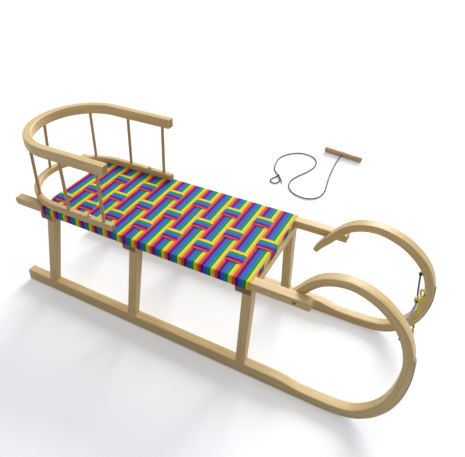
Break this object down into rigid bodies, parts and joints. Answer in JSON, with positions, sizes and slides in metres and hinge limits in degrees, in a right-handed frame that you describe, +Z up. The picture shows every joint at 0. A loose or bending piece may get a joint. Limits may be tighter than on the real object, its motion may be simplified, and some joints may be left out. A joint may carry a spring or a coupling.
{
  "type": "baby pull sled",
  "caption": "Bent-wood horn sled with a woven webbing seat, a lift-off bow backrest, steel-shod runners and a separate pull rope with a wooden handle.",
  "frame": {"origin": "on the floor, under the middle of the sled's length and width, without the free pull rope", "axes": "+X forward towards the horns, +Y to the sled's left, +Z up"},
  "size_m": [1.122, 1.2815, 0.5005],
  "materials": {
    "sled_wood": "clear varnish, satin",
    "dowel_wood": "clear varnish, satin",
    "handle_wood": "sanded, unvarnished",
    "runner_steel": "worn bright on the sole",
    "fastener_steel": "zinc plated",
    "insert_brass": "turned",
    "webbing": "woven striped webbing in rainbow colours",
    "eye_plastic": "moulded black plastic over steel",
    "cable_jacket": "jacketed wire rope",
    "tether_cord": "twisted cord",
    "pull_rope": "braided cord with coloured flecks"
  },
  "bodies": {
    "frame": {"cable_eye_left": "eye_plastic", "cable_eye_right": "eye_plastic", "crossbar_front": "sled_wood", "crossbar_rear": "sled_wood", "handle_knot": "pull_rope", "horn_screw_left": "fastener_steel", "horn_screw_right": "fastener_steel", "leg_left_front": "sled_wood", "leg_left_middle": "sled_wood", "leg_left_rear": "sled_wood", "leg_right_front": "sled_wood", "leg_right_middle": "sled_wood", "leg_right_rear": "sled_wood", "link_cable": "cable_jacket", "pull_handle": "handle_wood", "pull_rope": "pull_rope", "rail_insert_left": "insert_brass", "rail_insert_right": "insert_brass", "rail_left": "sled_wood", "rail_right": "sled_wood", "rope_end_loop": "pull_rope", "runner_horn_left": "sled_wood", "runner_horn_right": "sled_wood", "steel_strip_left": "runner_steel", "steel_strip_right": "runner_steel", "strap_cross_01": "webbing", "strap_cross_02": "webbing", "strap_cross_03": "webbing", "strap_cross_04": "webbing", "strap_cross_05": "webbing", "strap_cross_06": "webbing", "strap_cross_07": "webbing", "strap_cross_08": "webbing", "strap_cross_09": "webbing", "strap_cross_10": "webbing", "strap_cross_11": "webbing", "strap_cross_12": "webbing", "strap_cross_13": "webbing", "strap_cross_14": "webbing", "strap_long_left": "webbing", "strap_long_middle": "webbing", "strap_long_right": "webbing", "yoke_front": "sled_wood", "yoke_middle": "sled_wood", "yoke_rear": "sled_wood"},
    "backrest": {"lower_bow": "sled_wood", "spindle_left_front": "dowel_wood", "spindle_left_middle": "dowel_wood", "spindle_left_rear_corner": "dowel_wood", "spindle_rear": "dowel_wood", "spindle_right_front": "dowel_wood", "spindle_right_middle": "dowel_wood", "spindle_right_rear_corner": "dowel_wood", "upper_bow": "sled_wood"},
    "bolt_left": {"backrest_bolt_left": "fastener_steel"},
    "bolt_right": {"backrest_bolt_right": "fastener_steel"},
    "tether": {"tether_hitch": "tether_cord", "tether_cord": "tether_cord"}
  },
  "joints": [
    {"name": "backrest_lift", "type": "slide", "parent": "frame", "child": "backrest", "axis": [0, 0, 1], "range_m": [0, 0.12]},
    {"name": "bolt_left_turn", "type": "hinge", "parent": "backrest", "child": "bolt_left", "pos_m": [-0.282, 0.1435, 0.3235], "axis": [0, 0, 1], "continuous": true},
    {"name": "bolt_right_turn", "type": "hinge", "parent": "backrest", "child": "bolt_right", "pos_m": [-0.282, -0.1435, 0.3235], "axis": [0, 0, 1], "continuous": true},
    {"name": "tether_swing", "type": "hinge", "parent": "frame", "child": "tether", "pos_m": [0.524, 0.03, 0.25455], "axis": [0, 1, 0], "range_deg": [-80, 80]}
  ]
}
